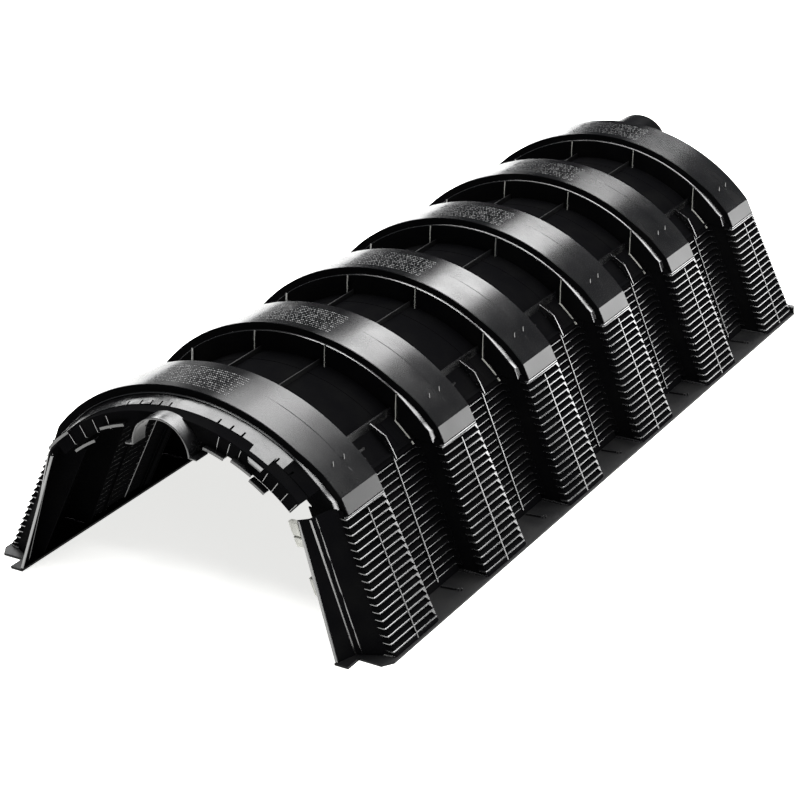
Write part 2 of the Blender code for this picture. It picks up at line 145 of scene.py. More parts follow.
class JointSizes(bpy.types.PropertyGroup):
    """Sizes of the two ends, where chambers lock together."""

    ledge_depth: length("Ledge depth", 0.0175, "How far the front ledge lies under the crests")
    ledge_reach: length("Ledge reach", 0.025, "Depth of the smooth part of the front ledge")
    ledge_fall: length("Ledge fall", 0.0086, "How far the front ledge falls towards its edge")
    wall_reach: length("Wall reach", 0.052, "How far the end wall stands ahead of the first crest")
    wall_depth: length("Wall depth", 0.0575, "How far the end wall hangs under the crests")
    ledge_half: FloatProperty(
        name="Ledge arc", default=radians(44.5), description="Half of the ledge's arc", subtype="ANGLE"
    )
    pipe_radius: length("Pipe radius", 0.062, "Outer radius of the pipe rim")
    pipe_centre_z: length("Pipe height", 0.321, "Height of the pipe rim's centre")
    pipe_reach: length("Pipe reach", 0.082, "How far the pipe rim stands ahead of the first crest")
    dome_radius: length("Dome radius", 0.070, "Radius of the rear pipe dome")
    dome_centre_z: length("Dome height", 0.333, "Height of the rear dome's centre")


class ChamberColours(bpy.types.PropertyGroup):
    """Base colours of the plastic, of the painted highlights on its thin edges, and of the floor."""

    black: colour("Black", "#070708", "Carbon-black polyethylene")
    worn: colour("Worn", "#0c0c0c", "Scuffed and dusty polyethylene")
    # Pale is painted highlight: a pale grey put on thin edges and small blocks in place of the light they
    # catch.
    pale: colour("Pale", "#a2a29c", "Stress-whitened polyethylene")
    floor: colour("Floor", "#f4f4f2", "Studio floor")


# ---------------------------------------------------------------- the shared cross-section

class Form:
    """The cross-section and the crest places that every zone of the chamber follows."""

    def __init__(self, shell):
        low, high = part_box("crest_arch_1")
        self.shell = shell
        self.rise = CAD_HIGH.z - DASH_HEIGHT
        self.pad_z = low.z
        self.crest_y = low.y
        self.crest_width = high.y - low.y
        self.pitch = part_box("crest_arch_2")[0].y - low.y
        self.flange_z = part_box("crest_louvre_left_1")[0].z
        self.end_x = self.rise * sin(shell.arc_half)
        self.end_z = self.rise * cos(shell.arc_half)
        self.slope = (shell.foot_x - self.end_x) / self.end_z
        self.stretch = hypot(1.0, self.slope)
        self.valley_radius = self.rise - shell.valley_depth

    def crest(self, number):
        """Y of a crest's front face at the pad."""
        return self.crest_y + (number - 1) * self.pitch

    def leg(self, z, depth=0.0):
        """Half width of a leg at height z, this far behind its outer face."""
        return self.shell.foot_x - self.slope * z - self.stretch * depth

    def front(self, z):
        """Y of a leg's front face from its place at the pad: below 0, as it stands out at the ground."""
        return -self.shell.front_draft * max(0.0, 1 - z / self.pad_z)

    def rear(self, z):
        """Y of a leg's rear face from the front face's place at the pad."""
        return self.crest_width - self.shell.rear_draft * max(0.0, 1 - z / self.pad_z)

    def stations(self):
        """(angle, x, z, inward x, inward z) over the whole arch, left pad to right pad."""
        shell = self.shell
        reach = shell.valley_depth + 0.004
        half = []
        for step in range(shell.arc_steps + 1):
            angle = shell.arc_half * step / shell.arc_steps
            x, z = self.rise * sin(angle), self.rise * cos(angle)
            drop = min(cos(angle), (z - self.pad_z - 0.0005) / reach)
            half.append((angle, x, z, -sin(angle), -drop))
        half.append((shell.arc_half, self.leg(self.pad_z), self.pad_z, -self.stretch, 0.0))
        return [(-a, -x, z, -nx, nz) for a, x, z, nx, nz in reversed(half[1:])] + half

    def arc(self, low, high, steps):
        """Stations along the top arc alone."""
        angles = [low + (high - low) * step / steps for step in range(steps + 1)]
        rise = self.rise
        return [(a, rise * sin(a), rise * cos(a), -sin(a), -cos(a)) for a in angles]


def bump(value, low, high, soft):
    """1 between low and high, falling to 0 over a soft margin outside them."""
    inside = min(value - low, high - value)
    return max(0.0, min(1.0, inside / soft + 1))


# ---------------------------------------------------------------- mesh helpers

def link(name, data):
    """Puts new data into the scene as an object."""
    obj = bpy.data.objects.new(name, data)
    bpy.context.scene.collection.objects.link(obj)
    return obj


class Body:
    """Collects closed bodies into one piece, whose faces name their material by number."""

    def __init__(self, name, *materials):
        self.name = name
        self.materials = materials
        self.bm = bmesh.new()

    def loft(self, rings, look=0, looks=None):
        """A closed body through rings of points, capped at both ends."""
        rows = [[self.bm.verts.new(point) for point in ring] for ring in rings]
        count = len(rows[0])
        for step, (row, following) in enumerate(zip(rows, rows[1:])):
            for i in range(count):
                j = (i + 1) % count
                face = self.bm.faces.new((row[i], row[j], following[j], following[i]))
                face.material_index = looks(step, i) if looks else look
        for row in (rows[0], rows[-1]):
            self.bm.faces.new(row).material_index = look

    def sweep(self, stations, section, look=0, looks=None):
        """Carries a (y, depth) section, which may change with the angle, along stations."""
        rings = [
            [(x + nx * depth, y, z + nz * depth) for y, depth in section(angle)]
            for angle, x, z, nx, nz in stations
        ]
        self.loft(rings, look, looks)

    def prism(self, outline, near_y, far_y, look=0):
        """An (x, z) outline carried along Y."""
        self.loft([[(x, y, z) for x, z in outline] for y in (near_y, far_y)], look)

    def post(self, x, y, z, profile):
        """A small round post that stands on a point, through (height, radius) pairs."""
        turns = [tau * i / 8 for i in range(8)]
        rings = [
            [(x + radius * cos(t), y + radius * sin(t), z + height) for t in turns]
            for height, radius in profile
        ]
        self.loft(rings, 1)

    def add(self, mesh, look=0):
        """Takes in a plain mesh and removes it."""
        start = len(self.bm.faces)
        self.bm.from_mesh(mesh)
        self.bm.faces.ensure_lookup_table()
        for face in self.bm.faces[start:]:
            face.material_index = look
        bpy.data.meshes.remove(mesh)

    def bake(self):
        """The collected bodies as one mesh, with their faces turned outwards."""
        bmesh.ops.recalc_face_normals(self.bm, faces=self.bm.faces)
        mesh = bpy.data.meshes.new(self.name)
        self.bm.to_mesh(mesh)
        self.bm.free()
        return mesh

    def finish(self, node, crease=13.0):
        """Turns the piece into an object that rides on the chamber and stands for its CAD node."""
        mesh = self.bake()
        for material in self.materials:
            mesh.materials.append(material)
        mesh.shade_smooth()
        mesh.set_sharp_from_angle(angle=radians(crease))
        obj = link(self.name, mesh)
        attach(obj, BODY)
        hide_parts(node)


def add_node(tree, kind, inputs=None, **settings):
    """Adds a node, sets its fields and fills its inputs: a socket is linked, anything else is a value."""
    node = tree.nodes.new(kind)
    for field, value in settings.items():
        setattr(node, field, value)
    for key, value in (inputs or {}).items():
        if isinstance(value, bpy.types.NodeSocket):
            tree.links.new(value, node.inputs[key])
        else:
            node.inputs[key].default_value = value
    return node


def repeat_tree(name, inputs, place):
    """A Geometry Nodes tree that places copies of the incoming shape and realises them in a material."""
    tree = bpy.data.node_groups.get(name)
    if tree:
        return tree
    tree = bpy.data.node_groups.new(name, "GeometryNodeTree")
    tree.interface.new_socket("Geometry", in_out="INPUT", socket_type="NodeSocketGeometry")
    for label, kind in inputs + (("Material", "Material"),):
        tree.interface.new_socket(label, in_out="INPUT", socket_type="NodeSocket" + kind)
    tree.interface.new_socket("Geometry", in_out="OUTPUT", socket_type="NodeSocketGeometry")
    given = add_node(tree, "NodeGroupInput").outputs
    copies = place(tree, given)
    real = add_node(tree, "GeometryNodeRealizeInstances", {"Geometry": copies})
    painted = add_node(
        tree, "GeometryNodeSetMaterial", {"Geometry": real.outputs[0], "Material": given["Material"]}
    )
    add_node(tree, "NodeGroupOutput", {"Geometry": painted.outputs[0]})
    return tree


def row_tree():
    """Copies at even steps along a line, each longer than the last along Y by the same share."""
    def place(tree, given):
        line = add_node(
            tree, "GeometryNodeMeshLine",
            {"Count": given["Count"], "Start Location": given["Anchor"], "Offset": given["Step"]},
            mode="OFFSET",
        )
        index = add_node(tree, "GeometryNodeInputIndex")
        share = add_node(
            tree, "ShaderNodeMath", {0: index.outputs[0], 1: given["Growth"], 2: 1.0},
            operation="MULTIPLY_ADD",
        )
        scale = add_node(tree, "ShaderNodeCombineXYZ", {"X": 1.0, "Y": share.outputs[0], "Z": 1.0})
        copies = add_node(
            tree, "GeometryNodeInstanceOnPoints",
            {"Points": line.outputs[0], "Instance": given["Geometry"], "Scale": scale.outputs[0]},
        )
        return copies.outputs[0]

    inputs = (("Count", "Int"), ("Anchor", "Vector"), ("Step", "Vector"), ("Growth", "Float"))
    return repeat_tree("Even row", inputs, place)


def arc_tree():
    """Copies in rows round the chamber's axis, turned with it, with sizes that vary by a seeded amount."""
    def place(tree, given):
        index = add_node(tree, "GeometryNodeInputIndex").outputs[0]
        column = add_node(tree, "ShaderNodeMath", {0: index, 1: given["Per Row"]}, operation="MODULO")
        ratio = add_node(tree, "ShaderNodeMath", {0: index, 1: given["Per Row"]}, operation="DIVIDE")
        row = add_node(tree, "ShaderNodeMath", {0: ratio.outputs[0]}, operation="FLOOR")
        angle = add_node(
            tree, "ShaderNodeMath", {0: column.outputs[0], 1: given["Turn"], 2: given["Start"]},
            operation="MULTIPLY_ADD",
        )
        y = add_node(
            tree, "ShaderNodeMath", {0: row.outputs[0], 1: given["Row Step"], 2: given["Y"]},
            operation="MULTIPLY_ADD",
        )
        sine = add_node(tree, "ShaderNodeMath", {0: angle.outputs[0]}, operation="SINE")
        cosine = add_node(tree, "ShaderNodeMath", {0: angle.outputs[0]}, operation="COSINE")
        x = add_node(tree, "ShaderNodeMath", {0: sine.outputs[0], 1: given["Radius"]}, operation="MULTIPLY")
        z = add_node(tree, "ShaderNodeMath", {0: cosine.outputs[0], 1: given["Radius"]}, operation="MULTIPLY")
        position = add_node(
            tree, "ShaderNodeCombineXYZ", {"X": x.outputs[0], "Y": y.outputs[0], "Z": z.outputs[0]}
        )
        turn = add_node(tree, "ShaderNodeCombineXYZ", {"Y": angle.outputs[0]})
        points = add_node(
            tree, "GeometryNodePoints", {"Count": given["Count"], "Position": position.outputs[0]}
        )
        least = add_node(tree, "ShaderNodeMath", {0: 1.0, 1: given["Variation"]}, operation="SUBTRACT")
        size = add_node(
            tree, "FunctionNodeRandomValue",
            {"Min": least.outputs[0], "Max": 1.0, "Seed": given["Seed"]}, data_type="FLOAT",
        )
        copies = add_node(
            tree, "GeometryNodeInstanceOnPoints",
            {
                "Points": points.outputs[0], "Instance": given["Geometry"],
                "Rotation": turn.outputs[0], "Scale": size.outputs["Value"],
            },
        )
        return copies.outputs[0]

    inputs = (
        ("Count", "Int"), ("Per Row", "Int"), ("Radius", "Float"), ("Start", "Float"), ("Turn", "Float"),
        ("Y", "Float"), ("Row Step", "Float"), ("Variation", "Float"), ("Seed", "Int"),
    )
    return repeat_tree("Rows round the arch", inputs, place)


def repeated(tree, shape, material, **values):
    """Runs a repeating tree on a shape, given as rings of points, and returns one plain mesh."""
    source = Body("shape")
    for rings in shape:
        source.loft(rings)
    mesh = source.bake()
    obj = link("shape", mesh)
    modifier = obj.modifiers.new("Repeat", "NODES")
    modifier.node_group = tree
    values["Material"] = material
    for socket in tree.interface.items_tree:
        label = socket.name.replace(" ", "_").lower()
        if socket.in_out == "INPUT" and socket.name != "Geometry":
            modifier[socket.identifier] = values.get(label, values.get(socket.name))
    graph = bpy.context.evaluated_depsgraph_get()
    made = bpy.data.meshes.new_from_object(obj.evaluated_get(graph))
    bpy.data.objects.remove(obj)
    bpy.data.meshes.remove(mesh)
    return made


# ---------------------------------------------------------------- materials

PATCH_MM = 55.0  # across a worn patch
WAVE_MM = 16.0  # from one wave of the skin to the next


def polyethylene(
    name, tone, roughness, spread, grain_mm, grain, specular=0.5, peel=0.0, apex=1.0,
    colours=("black", "worn"),
):
    """Moulded polyethylene: a mottled colour, a roughness that varies, and a grain of a real size.

    The tone is the share of the worn colour in patches, peel is how far the skin waves, and apex is
    the share of the gloss that is left over the grip panel. A mould's real grain is about 0.1 mm, too
    fine to show on an object of this size, so it is drawn some 20 times coarser."""
    material = bpy.data.materials.get(name)
    if material:
        return material
    clean, worn = (list(getattr(bpy.context.scene.chamber_colours, label)) for label in colours)
    material = bpy.data.materials.new(name)
    material.use_nodes = True
    tree = material.node_tree
    shader = tree.nodes["Principled BSDF"]
    place = add_node(tree, "ShaderNodeTexCoord").outputs["Object"]
    in_mm = add_node(tree, "ShaderNodeMapping", {"Vector": place, "Scale": (1000.0,) * 3}).outputs[0]
    patches = add_node(
        tree, "ShaderNodeTexNoise",
        {"Vector": in_mm, "Scale": 1 / PATCH_MM, "Detail": 2.0, "Roughness": 0.45},
    ).outputs["Fac"]
    specks = add_node(
        tree, "ShaderNodeTexNoise", {"Vector": in_mm, "Scale": 1 / grain_mm, "Detail": 2.0}
    ).outputs["Fac"]
    mottle = add_node(
        tree, "ShaderNodeMapRange",
        {"Value": patches, "From Min": 0.42, "From Max": 0.72, "To Min": 0.0, "To Max": tone},
    ).outputs[0]
    blend = add_node(
        tree, "ShaderNodeMix", {"Factor": mottle, 6: clean, 7: worn}, data_type="RGBA"
    )
    tree.links.new(blend.outputs[2], shader.inputs["Base Color"])
    rough = add_node(
        tree, "ShaderNodeMapRange",
        {
            "Value": patches, "From Min": 0.3, "From Max": 0.7,
            "To Min": roughness - spread, "To Max": roughness + spread,
        },
    ).outputs[0]
    tree.links.new(rough, shader.inputs["Roughness"])
    relief = add_node(
        tree, "ShaderNodeBump", {"Height": specks, "Strength": grain, "Distance": 0.0002}
    ).outputs["Normal"]
    if peel:
        waves = add_node(tree, "ShaderNodeTexNoise", {"Vector": in_mm, "Scale": 1 / WAVE_MM, "Detail": 1.0})
        relief = add_node(
            tree, "ShaderNodeBump",
            {"Height": waves.outputs["Fac"], "Strength": peel, "Distance": 0.001, "Normal": relief},
        ).outputs["Normal"]
    tree.links.new(relief, shader.inputs["Normal"])
    # Polyethylene's index is 1.51. A thin edge glints more, from many small facets, so it gets a higher one.
    shader.inputs["IOR"].default_value = 1.51 if specular < 1 else 1.7
    if apex < 1:
        # The grip panel over the apex, a little left of the top, is dull: the gloss fades away around it.
        axes = add_node(tree, "ShaderNodeSeparateXYZ", {0: place}).outputs
        turn = add_node(tree, "ShaderNodeMath", {0: axes["X"], 1: axes["Z"]}, operation="ARCTAN2").outputs[0]
        shifted = add_node(tree, "ShaderNodeMath", {0: turn, 1: radians(3)}, operation="ADD").outputs[0]
        away = add_node(tree, "ShaderNodeMath", {0: shifted}, operation="ABSOLUTE").outputs[0]
        gloss_here = add_node(
            tree, "ShaderNodeMapRange",
            {
                "Value": away, "From Min": radians(9), "From Max": radians(16),
                "To Min": specular * apex, "To Max": specular,
            },
            interpolation_type="SMOOTHSTEP",
        ).outputs[0]
        tree.links.new(gloss_here, shader.inputs["Specular IOR Level"])
    else:
        shader.inputs["Specular IOR Level"].default_value = specular
    return material


def satin():
    # Polyethylene off a smooth mould half: a satin black with a soft, slightly wavy grey reflection.
    return polyethylene(
        "polyethylene_moulded_satin", tone=0.5, roughness=0.25, spread=0.03, grain_mm=4.0, grain=0.05,
        specular=0.34, peel=0.05, apex=0.09,
    )


def painted_shade():
    # Painted shade: a dull black whose reflection is taken away, so that recesses, inner faces and walls out
    # of the light stay dark at a low angle.
    return polyethylene(
        "polyethylene_blasted_recess", tone=0.6, roughness=0.60, spread=0.06, grain_mm=3.0, grain=0.2,
        specular=0.001,
    )


def gloss():
    # Polyethylene on thin edges that shrink tight on the mould: glossier than the skin beside them.
    return polyethylene(
        "polyethylene_glossy_edge", tone=0.3, roughness=0.25, spread=0.05, grain_mm=3.0, grain=0.05,
        specular=1.0,
    )


def painted_highlight():
    # Painted highlight: a dull pale grey put on thin fin edges, beads and small blocks in place of the glints
    # they would catch.
    return polyethylene(
        "polyethylene_whitened_edge", tone=0.4, roughness=0.45, spread=0.05, grain_mm=1.5, grain=0.2,
        colours=("pale", "worn"),
    )


def grained():
    # Polyethylene off a spark-eroded panel: an even fine grain that scatters light to one plain grey.
    return polyethylene(
        "polyethylene_grained_pad", tone=0.4, roughness=0.38, spread=0.02, grain_mm=2.4, grain=0.45,
        specular=0.6,
    )


def polished():
    # Polyethylene off a polished insert where chambers lock: smooth, and rippled where it shrank.
    return polyethylene(
        "polyethylene_polished_joint", tone=0.2, roughness=0.24, spread=0.08, grain_mm=3.0, grain=0.05,
        specular=0.7, peel=0.4,
    )


def dusty():
    # Polyethylene that has been walked on and stood in soil: black with a thin dull film of dust.
    return polyethylene(
        "polyethylene_dusty_flange", tone=1.0, roughness=0.50, spread=0.08, grain_mm=2.0, grain=0.4,
        specular=0.12,
    )


# ---------------------------------------------------------------- crests

def crest_section(form, y):
    """The (y, depth) outline of a crest: a hollow channel with a ledge along its front."""
    shell = form.shell
    edge, wall, ledge = shell.edge, shell.wall, shell.lip_depth
    back = y + form.crest_width
    inner = shell.valley_depth + wall
    step_y = y + 0.070

    def section(angle):
        groove = shell.groove * bump(degrees(angle), *GROOVE_ARC)
        wide = shell.lip_step + shell.lip_widening * bump(abs(degrees(angle)), *WIDE_ARC)
        rim = ledge + shell.lip_tilt * wide
        top = y + wide
        return [
            (top, edge), (top + edge, 0.0),
            (step_y - 0.002, 0.0), (step_y, 0.0), (step_y + 0.0003, groove), (step_y + 0.0012, groove),
            (step_y + 0.0016, 0.0), (step_y + 0.0036, 0.0),
            (back - edge, 0.0), (back, edge), (back, inner), (back - wall, inner), (back - wall, wall),
            (top + wall, wall), (top + wall, ledge + wall), (y + wall, ledge + wall),
            (y + wall, inner), (y, inner), (y, rim + edge), (y + edge, rim), (top, ledge),
        ]

    return section


def crest_fins(body, form, y):
    """Four upright fins on a crest's front wall, which widen from the ledge down to the valley."""
    rim = form.rise - form.shell.lip_depth
    half = 0.0018
    for x in FINS_X:
        top = sqrt(rim ** 2 - x * x) - 0.0008
        foot = sqrt(form.valley_radius ** 2 - x * x) - 0.002
        kink = top - 0.35 * (top - foot)
        side = [(y - 0.0015, top), (y - 0.0040, kink), (y - 0.0062, foot)]
        side += [(y + 0.001, foot), (y + 0.001, top)]
        edge = [(y - 0.0017, top - 0.001), (y - 0.0044, kink), (y - 0.0066, foot)]
        edge += [(y - 0.0056, foot), (y - 0.003, kink)]
        # The front edge of each fin is a thin strip in the pale colour: a painted highlight.
        for outline, reach, look in ((side, half, 1), (edge, HIGHLIGHT_HALF, 4)):
            body.loft([[(x + shift, a, b) for a, b in outline] for shift in (-reach, reach)], look)


def shoulder_pins(body, form, y):
    """Two small upright pins on the right shoulder, where the moulding's gates were trimmed."""
    angle = radians(42)
    x, z = form.rise * sin(angle), form.rise * cos(angle)
    for shift in (0.043, 0.077):
        body.post(x, y + shift, z, ((-0.002, 0.0013), (0.004, 0.0011), (0.0085, 0.0007)))


def stipple(form, y, material):
    """A patch of short raised dashes near the apex, as grip, in rows round the arch."""
    per_row, rows = 46, 11
    root, low, top = -0.0002, 0.4 * DASH_HEIGHT, DASH_HEIGHT
    base, crown = (0.0013, -0.0022, 0.0014, root, root), (0.0009, -0.0018, 0.0011, low, top)
    shape = [[
        [(-half, front, z0), (half, front, z0), (half, rear, z1), (-half, rear, z1)]
        for half, front, rear, z0, z1 in (base, crown)
    ]]
    return repeated(
        arc_tree(), shape, material, count=per_row * rows, per_row=per_row, radius=form.rise,
        start=radians(-14), turn=radians(24) / (per_row - 1), y=y + 0.022, row_step=0.0072,
        variation=0.85, seed=7,
    )


class CHAMBER_OT_crests(bpy.types.Operator):
    """Build the raised crest shells with their ledges, fins and grained shoulder pads"""

    bl_idname = "chamber.crests"
    bl_label = "Crests"

    def execute(self, context):
        form = Form(context.scene.chamber_shell)
        stations = form.stations()
        last = len(stations) - 2

        def looks(step, edge):
            """Grained pads at the ends, satin on top, gloss on the front ledge, and elsewhere painted shade,
            a black without reflection.
            """
            if edge in (18, 19):
                return 1
            if edge > 8:
                return 3
            return 2 if step in (0, last) and 0 < edge < 8 else 0

        for number in range(1, CRESTS + 1):
            y = form.crest(number)
            body = Body(f"crest_shell_{number}", satin(), gloss(), grained(), painted_shade(), painted_highlight())
            body.sweep(stations, crest_section(form, y), 0, looks)
            if number > 1:
                crest_fins(body, form, y)
            shoulder_pins(body, form, y)
            body.add(stipple(form, y, grained()), 2)
            body.finish(f"crest_arch_{number}")
        return {"FINISHED"}


# ---------------------------------------------------------------- valleys

class CHAMBER_OT_valleys(bpy.types.Operator):
    """Build the sunken valley shells with their straps, webs and shoulder gussets"""

    bl_idname = "chamber.valleys"
    bl_label = "Valleys"

    def execute(self, context):
        form = Form(context.scene.chamber_shell)
        for number in range(1, CRESTS):
            start = form.crest(number) + form.crest_width
            end = form.crest(number + 1)
            # The valley's floor is in the black without reflection: painted shade.
            body = Body(f"valley_shell_{number}", painted_shade(), gloss(), satin(), dusty(), painted_highlight())
            body.sweep(form.stations(), self.section(form, start, end))
            self.straps(body, form, start, end)
            self.gussets(body, form, form.crest(number) + GUSSET_Y)
            self.rear_beads(body, form, end)
            body.finish(f"valley_arch_{number}")
        return {"FINISHED"}

    def section(self, form, start, end):
        """The valley's floor, with a thin bead round it."""
        depth, wall = form.shell.valley_depth, form.shell.wall
        bead = start + 0.1526
        outline = [
            (start, depth), (bead, depth), (bead + 0.0005, depth - 0.0009), (bead + 0.0013, depth - 0.0009),
            (bead + 0.0018, depth), (end, depth), (end, depth + wall), (start, depth + wall),
        ]
        return lambda angle: outline

    def straps(self, body, form, start, end):
        """Twin-walled straps at the shoulders, low webs near the apex and short bars beside them."""
        for side in (-1, 1):
            for x, half, top, look in (
                (0.2148, 0.0006, 0.2895, 2), (0.2174, 0.0006, 0.2895, 2), (0.066, 0.001, 0.3545, 3)
            ):
                root = self.root(form, x)
                outline = [(-half, root), (half, root), (half, top - 0.0004), (0, top), (-half, top - 0.0004)]
                body.prism([(side * (x + a), z) for a, z in outline], start - 0.001, end + 0.001, look)
            for x, near, far in ((0.235, 0.030, 0.075), (0.2475, 0.020, 0.060)):
                root = self.root(form, x)
                top = root + BAR_HEIGHT
                outline = [(-0.001, root), (0.001, root), (0.001, top), (-0.001, top)]
                body.prism([(side * (x + a), z) for a, z in outline], start + near, start + far, 2)

    def root(self, form, x):
        """A height just under the valley's floor, from which a web or bar rises."""
        return sqrt(form.valley_radius ** 2 - x * x) - 0.003

    def rear_beads(self, body, form, end):
        """A bead at each shoulder that carries on from the next crest's fin, down to the louvred wall."""
        depth = form.shell.valley_depth
        section = (
            (end - 0.0100, depth + 0.001), (end - 0.0092, depth - 0.0020),
            (end - 0.0080, depth - 0.0020), (end - 0.0070, depth + 0.001),
        )
        for side in (-1, 1):
            stations = form.arc(side * radians(40.5), side * form.shell.arc_half, 6)
            # The bead is all in the pale colour: a painted highlight.
            body.sweep(stations, lambda angle: section, 4)

    def gussets(self, body, form, y):
        """A thin cross plate at each shoulder, from the strap down to the louvred wall."""
        foot = form.leg(0.2290, form.shell.valley_depth)
        root = form.valley_radius - 0.0022
        for side in (-1, 1):
            outline = [(0.2174, 0.2865), (0.2502, 0.2690), (0.2615, 0.2500), (0.2720, 0.2290)]
            outline.append((foot - 0.003, 0.2290))
            for turn in map(radians, (46.5, 44.0, 41.5, 39.0)):
                outline.append((root * sin(turn), root * cos(turn)))
            body.prism([(side * x, z) for x, z in outline], y - 0.0011, y + 0.0011, 1)


# ---------------------------------------------------------------- louvred legs

def slat(side, form, sizes, height, path):
    """The bead and the wedge of one slat, each carried along a plan of stations.

    Each station is (outward x, y, inward x, inward y) from the anchor."""
    half = height / 2
    chamfer = min(0.0006, half / 2)
    bead = (
        (chamfer, -half), (0.0, chamfer - half), (0.0, half - chamfer), (chamfer, half),
        (sizes.bead, half), (sizes.bead, -half),
    )
    wedge = (
        (sizes.bead, -half * 0.9), (sizes.bead, half * 0.9),
        (sizes.depth, sizes.rise + sizes.root / 2), (sizes.depth, sizes.rise - sizes.root / 2),
    )
    return along(side, form, path, bead), along(side, form, path, wedge)


def along(side, form, path, profile):
    """A (depth, height) profile at each station of a path."""
    return [
        [(side * (out - form.slope * dz + inward_x * d), y + inward_y * d, dz) for d, dz in profile]
        for out, y, inward_x, inward_y in path
    ]


def column(body, look, side, form, sizes, shape, count, top, depth, y_at, length_at):
    """Adds a row of slats down a leg, following its slope and its draft."""
    low = top - sizes.pitch
    growth = (length_at(low) - length_at(top)) / length_at(top)
    step = Vector((side * (form.leg(low, depth) - form.leg(top, depth)), y_at(low) - y_at(top), -sizes.pitch))
    anchor = Vector((side * form.leg(top, depth), y_at(top), top))
    row = repeated(
        row_tree(), shape, body.materials[look], count=count, anchor=anchor, step=step, growth=growth
    )
    body.add(row, look)


def upright(body, side, form, depth, top, foot, y_top, y_foot, half, out, back, look=1):
    """An upright rib in a leg, from the depth out to the depth back behind the leg's face."""
    rings = []
    for z, y in ((top, y_top), (foot, y_foot)):
        outer, edge, inner = (side * form.leg(z, depth + d) for d in (out, out + 0.0005, back))
        rings.append([
            (edge, y - half, z), (outer, y - half + 0.0005, z), (outer, y + half - 0.0005, z),
            (edge, y + half, z), (inner, y + half, z), (inner, y - half, z),
        ])
    body.loft(rings, look)


def leg_plate(body, side, form, near, far, top, foot, y_from, y_to):
    """A plate in a leg, between two depths and between two planes that follow the height."""
    rings = []
    for z in (top, foot):
        x0, x1 = side * form.leg(z, near), side * form.leg(z, far)
        rings.append([(x0, y_from(z), z), (x1, y_from(z), z), (x1, y_to(z), z), (x0, y_to(z), z)])
    body.loft(rings)


class CHAMBER_OT_crest_louvres(bpy.types.Operator):
    """Build the louvred channel under each end of every crest"""

    bl_idname = "chamber.crest_louvres"
    bl_label = "Crest louvres"

    def execute(self, context):
        form = Form(context.scene.chamber_shell)
        sizes = context.scene.chamber_louvre
        for number in range(1, CRESTS + 1):
            for side_name, side in SIDES:
                self.leg(form, sizes, number, side_name, side)
        return {"FINISHED"}

    def leg(self, form, sizes, number, side_name, side):
        """One leg: its front and rear walls, plain bands, slats and ribs."""
        shell = form.shell
        y = form.crest(number)
        name = f"crest_grille_{side_name}_{number}"
        # The walls, plain bands, wedges and inner ribs are in the black without reflection: painted shade.
        body = Body(name, painted_shade(), gloss())
        top, foot = form.pad_z - 0.0006, form.flange_z
        deep = shell.valley_depth + sizes.depth + shell.wall

        def front(z):
            return y + form.front(z)

        def rear(z):
            return y + form.rear(z)

        for face, start in ((front, 0.0034), (rear, -shell.wall - 0.0006)):
            leg_plate(
                body, side, form, 0.0050, deep, top, foot,
                lambda z: face(z) + start, lambda z: face(z) + start + shell.wall,
            )
        for z_top, z_foot, look in ((top, 0.2339, 0), (0.2334, 0.2318, 1), (0.0122, foot, 0)):
            self.band(body, side, form, z_top, z_foot, front, rear, look)
        self.teeth(body, form, sizes, side, y)
        rib_top, rib_foot = y + 0.0625, y + 0.0470
        upright(
            body, side, form, 0.0, 0.2262, foot + 0.001, rib_top, rib_foot, sizes.rib / 2, -0.0009, 0.0145
        )
        self.inner_ribs(body, side, form, front, rear)
        self.foot_bead(body, side, form, front, foot)
        body.finish(f"crest_louvre_{side_name}_{number}", crease=25.0)

    def band(self, body, side, form, z_top, z_foot, front, rear, look):
        """A plain strip across the leg, chamfered where it meets the front corner."""
        rings = []
        for z in (z_top, z_foot):
            outer, inner = side * form.leg(z), side * form.leg(z, 0.0130)
            corner = side * form.leg(z, 0.004)
            rings.append([
                (inner, front(z) + 0.003, z), (corner, front(z) + 0.0002, z), (outer, front(z) + 0.005, z),
                (outer, rear(z) - 0.0006, z), (inner, rear(z) - 0.0006, z),
            ])
        body.loft(rings, look)

    def teeth(self, body, form, sizes, side, y):
        """The slats: each wraps round the front corner and ends in a small web at the rear one."""
        top = sizes.crest_top
        run = form.rear(top) - form.front(top)
        path = (
            (0.0, -0.0006, -form.stretch, 0.0),
            (0.0, 0.0052 - run, -form.stretch, 0.0),
            (-0.0016, 0.0013 - run, -0.75, 0.55),
            (-0.0056, -run, 0.0, 0.45),
            (-0.0180, -run, 0.0, 0.40),
        )
        bead, wedge = slat(side, form, sizes, sizes.crest_edge, path)
        web = ((-0.0007, 0.0008), (-0.0007, -0.0092), (-0.0022, -0.0092), (-0.0084, -0.0004))
        tooth = [
            [(side * (-form.slope * dz - form.stretch * d), a, dz) for a, dz in web] for d in (0.0002, 0.0032)
        ]
        for look, shape in ((1, [bead, tooth]), (0, [wedge])):
            column(
                body, look, side, form, sizes, shape, sizes.crest_count, top, 0.0,
                lambda z: y + form.rear(z), lambda z: form.rear(z) - form.front(z),
            )

    def inner_ribs(self, body, side, form, front, rear):
        """Upright stiffeners behind the slats, which carry them."""
        for share in (0.26, 0.78):
            top, foot = 0.2300, 0.007
            y_top = front(top) + share * (rear(top) - front(top))
            y_foot = front(foot) + share * (rear(foot) - front(foot))
            upright(body, side, form, 0.0, top, foot, y_top, y_foot, 0.0011, 0.0085, 0.0165, 0)

    def foot_bead(self, body, side, form, front, foot):
        """A low rounded bead where the front wall meets the flange."""
        z = foot - 0.0004
        rings = []
        for depth, shift in ((0.003, 0.0035), (0.012, 0.0), (0.035, -0.0008), (0.056, -0.001)):
            x, y = side * form.leg(foot, depth), front(foot) + shift
            bead = ((-0.0022, 0.0), (-0.0016, 0.0022), (0.0015, 0.0030), (0.0034, 0.0))
            rings.append([(x, y + a, z + b) for a, b in bead])
        body.loft(rings, 1)


